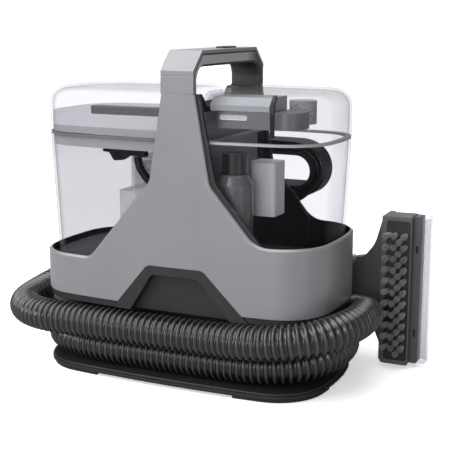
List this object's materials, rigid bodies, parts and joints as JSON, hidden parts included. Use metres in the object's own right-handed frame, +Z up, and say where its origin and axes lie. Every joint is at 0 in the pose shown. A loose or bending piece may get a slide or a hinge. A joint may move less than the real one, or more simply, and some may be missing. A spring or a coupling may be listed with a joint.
{
  "type": "spot extractor",
  "caption": "Portable spot extractor with clear tanks on a low base, a bridge handle between them, a suction hose wound round the drum, and a hand wand with an upholstery tool.",
  "frame": {"origin": "on the floor, below the middle of the bridge handle and of the yoke", "axes": "+X to the machine's right as its front is seen, along its length; +Y from front to back; +Z up"},
  "size_m": [0.4292, 0.2239, 0.3198],
  "materials": {
    "grey_shell": "satin grey with a fine metallic grain",
    "dark_band": "dark satin moulding",
    "light_trim": "pale satin moulding",
    "charcoal": "fine-textured charcoal moulding",
    "black_plastic": "black moulding",
    "clear_plastic": "clear moulded plastic",
    "pale_inner": "pale grey moulding inside the tanks",
    "smoky_inner": "smoky dark moulding",
    "mist_plastic": "cloudy grey moulding inside the dirty tank",
    "seal_rubber": "black rubber",
    "hose_plastic": "dark grey corrugated plastic",
    "cord_rubber": "black flexible sheath",
    "bristle": "nylon bristles",
    "steel": "bright steel",
    "copper": "windings",
    "board": "printed circuit board",
    "foam": "open-cell foam"
  },
  "bodies": {
    "root": {"base_plate": "charcoal", "rubber_feet": "seal_rubber", "drum_housing": "charcoal", "chassis_deck": "charcoal", "arch_panels": "charcoal", "main_shell": "grey_shell", "yoke_liners": "black_plastic", "tank_trays": "black_plastic", "centre_tower": "black_plastic", "tower_cap": "charcoal", "handle_skin": "grey_shell", "handle_band": "dark_band", "handle_core": "light_trim", "post_collars": "grey_shell", "button_spring": "steel", "motor_stator": "copper", "fan_shroud": "black_plastic", "pump_body": "black_plastic", "control_board": "board", "suction_hose": "hose_plastic", "hose_fittings": "black_plastic", "suction_duct": "black_plastic", "wand_body": "charcoal", "trigger_pin": "steel", "spray_valve": "black_plastic", "trigger_spring": "steel", "cord_bracket": "charcoal", "wand_clips": "charcoal", "strain_relief": "cord_rubber", "power_cord_coil": "cord_rubber", "power_cord_leads": "cord_rubber", "power_plug": "cord_rubber", "base_screws": "steel"},
    "button": {"power_button": "dark_band"},
    "rotor": {"motor_rotor": "steel", "fan_impeller": "black_plastic"},
    "clean_tank": {"clean_tank_shell": "clear_plastic", "clean_tank_rim": "pale_inner", "clean_level_block": "pale_inner", "clean_pickup": "black_plastic"},
    "clean_top": {"clean_lid": "clear_plastic", "clean_lid_pan": "pale_inner", "clean_gasket": "seal_rubber"},
    "dirty_tank": {"dirty_tank_shell": "clear_plastic", "dirty_riser": "smoky_inner", "float_cage": "mist_plastic"},
    "dirty_top": {"dirty_lid": "clear_plastic", "dirty_lid_filter": "mist_plastic", "dirty_lid_bezel": "light_trim", "foam_filter": "foam", "dirty_gasket": "seal_rubber"},
    "float": {"float_block": "pale_inner"},
    "latch": {"lid_latch": "black_plastic"},
    "trigger": {"spray_trigger": "light_trim"},
    "tool": {"tool_head": "charcoal", "bristle_plate": "black_plastic", "bristle_tufts": "bristle", "suction_strip": "charcoal", "clear_lip": "clear_plastic"},
    "release": {"tool_release": "light_trim"}
  },
  "joints": [
    {"name": "power_press", "type": "slide", "parent": "root", "child": "button", "axis": [0, 0, -1], "range_m": [0, 0.0012], "stiffness_N_per_m": 500, "deforming": ["button_spring"]},
    {"name": "fan_spin", "type": "hinge", "parent": "root", "child": "rotor", "pos_m": [-0.062, 0, 0.058], "axis": [0, 0, 1], "continuous": true},
    {"name": "clean_tank_lift", "type": "slide", "parent": "root", "child": "clean_tank", "axis": [0, 0, 1], "range_m": [0, 0.12]},
    {"name": "clean_lid_lift", "type": "slide", "parent": "clean_tank", "child": "clean_top", "axis": [0, 0, 1], "range_m": [0, 0.05]},
    {"name": "dirty_tank_lift", "type": "slide", "parent": "root", "child": "dirty_tank", "axis": [0, 0, 1], "range_m": [0, 0.12]},
    {"name": "dirty_lid_lift", "type": "slide", "parent": "dirty_tank", "child": "dirty_top", "axis": [0, 0, 1], "range_m": [0, 0.05]},
    {"name": "float_rise", "type": "slide", "parent": "dirty_tank", "child": "float", "axis": [0, 0, 1], "range_m": [0, 0.014]},
    {"name": "latch_swing", "type": "hinge", "parent": "dirty_top", "child": "latch", "pos_m": [0.088, -0.0615, 0.279], "axis": [-1, 0, 0], "range_deg": [0, 35]},
    {"name": "trigger_squeeze", "type": "hinge", "parent": "root", "child": "trigger", "pos_m": [0.056, 0.103, 0.0936], "axis": [0, -1, 0], "range_deg": [0, 4], "stiffness_Nm_per_rad": 0.6, "deforming": ["trigger_spring"]},
    {"name": "tool_pull", "type": "slide", "parent": "root", "child": "tool", "axis": [1, 0, 0], "range_m": [0, 0.03]},
    {"name": "release_press", "type": "slide", "parent": "tool", "child": "release", "axis": [0, 0, -1], "range_m": [0, 0.0015], "stiffness_N_per_m": 300}
  ]
}
